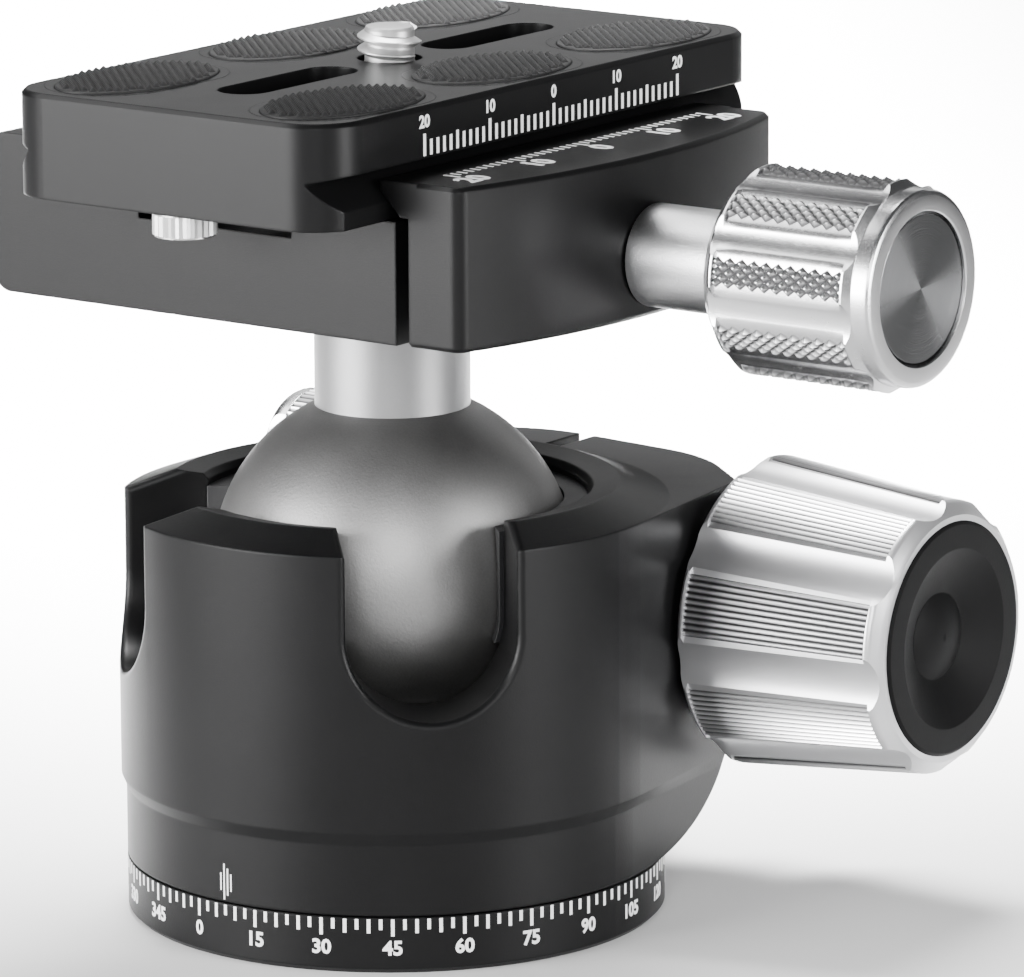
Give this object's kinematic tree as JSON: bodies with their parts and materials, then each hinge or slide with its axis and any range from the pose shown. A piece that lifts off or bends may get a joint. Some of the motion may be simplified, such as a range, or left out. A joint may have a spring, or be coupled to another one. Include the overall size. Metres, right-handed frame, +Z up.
{
  "type": "tripod ball head",
  "caption": "Tripod ball head with a panning base, pinch-clamped ball with drop notches, drag knob, and a dovetail screw clamp carrying a quick-release camera plate.",
  "frame": {"origin": "centre of the base's flat underside, at the mouth of the tripod thread", "axes": "+Z up along the pan axis; +X along the axes of the main knob and the clamp knob, towards the knobs; +Y along the length of the quick-release plate"},
  "size_m": [0.0931, 0.0774, 0.0883],
  "materials": {
    "black_anodised": "satin black anodised, fine blasted",
    "ball_coat": "hard anodised, bead blasted, dark grey",
    "blasted_silver": "bead blasted, clear anodised",
    "knob_silver": "machined, clear anodised",
    "disc_grey": "fine spun",
    "bright_steel": "turned and polished",
    "spring_steel": "oiled",
    "black_screw": "black oxide",
    "bearing_plastic": "low-friction moulded",
    "white_plastic": "low-friction sheet",
    "rubber_black": "matt moulded"
  },
  "bodies": {
    "base": {"base_disc": "black_anodised", "tripod_bush": "bright_steel", "pan_washer": "white_plastic", "pan_retainer": "bright_steel", "retainer_screws": "black_screw"},
    "housing": {"housing": "black_anodised", "pan_plate": "black_anodised", "pan_screws": "black_screw", "ball_sleeve": "bearing_plastic", "lower_seat": "bearing_plastic", "disc_springs": "spring_steel", "pinch_bolt": "bright_steel", "bolt_washer": "bright_steel", "knob_washer": "white_plastic"},
    "seat_cup": {"seat_cup": "bearing_plastic"},
    "ball": {"ball": "ball_coat", "stem": "blasted_silver", "swivel_washer": "bearing_plastic"},
    "clamp": {"clamp_body": "black_anodised", "stem_screw": "black_screw", "jaw_pins": "bright_steel", "jaw_springs": "spring_steel"},
    "jaw": {"moving_jaw": "black_anodised"},
    "clamp_knob": {"clamp_screw": "bright_steel", "clamp_knob_hub": "blasted_silver", "clamp_knob": "knob_silver", "clamp_knob_disc": "disc_grey"},
    "plate": {"plate": "black_anodised", "rubber_pads": "rubber_black", "stop_screws": "bright_steel"},
    "camera_screw": {"camera_screw": "bright_steel", "camera_screw_clip": "spring_steel"},
    "main_knob": {"main_knob": "knob_silver", "main_knob_insert": "bright_steel", "main_knob_cap": "rubber_black"},
    "drag_knob": {"drag_knob": "knob_silver", "drag_screw": "bright_steel", "drag_tip": "bearing_plastic"}
  },
  "joints": [
    {"name": "pan", "type": "hinge", "parent": "base", "child": "housing", "pos_m": [0, 0, 0.0058], "axis": [0, 0, 1], "continuous": true},
    {"name": "side_tilt", "type": "hinge", "parent": "housing", "child": "seat_cup", "pos_m": [0, 0, 0.0345], "axis": [0.7071, -0.7071, 0], "range_deg": [-20, 20]},
    {"name": "drop_tilt", "type": "hinge", "parent": "seat_cup", "child": "ball", "pos_m": [0, 0, 0.0345], "axis": [0.7071, 0.7071, 0], "range_deg": [-22, 90]},
    {"name": "ball_spin", "type": "hinge", "parent": "ball", "child": "clamp", "pos_m": [0, 0, 0.0631], "axis": [0, 0, 1], "continuous": true},
    {"name": "jaw_slide", "type": "slide", "parent": "clamp", "child": "jaw", "axis": [1, 0, 0], "range_m": [0, 0.003]},
    {"name": "clamp_knob_turn", "type": "hinge", "parent": "jaw", "child": "clamp_knob", "pos_m": [0.046, 0, 0.069], "axis": [1, 0, 0], "range_deg": [0, 1080]},
    {"name": "plate_slide", "type": "slide", "parent": "clamp", "child": "plate", "axis": [0, 1, 0], "range_m": [-0.011, 0.011]},
    {"name": "camera_screw_turn", "type": "hinge", "parent": "plate", "child": "camera_screw", "pos_m": [0, 0, 0.085], "axis": [0, 0, 1], "continuous": true},
    {"name": "main_knob_turn", "type": "hinge", "parent": "housing", "child": "main_knob", "pos_m": [0.0377, 0.026, 0.0284], "axis": [1, 0, 0], "range_deg": [0, 360]},
    {"name": "drag_knob_turn", "type": "hinge", "parent": "housing", "child": "drag_knob", "pos_m": [-0.024, 0.024, 0.0382], "axis": [-1, 0, 0], "range_deg": [0, 360]}
  ],
  "couplings": [
    {"joint": "clamp_knob_turn", "follows": "jaw_slide", "rad_per_m": 6283.2}
  ]
}
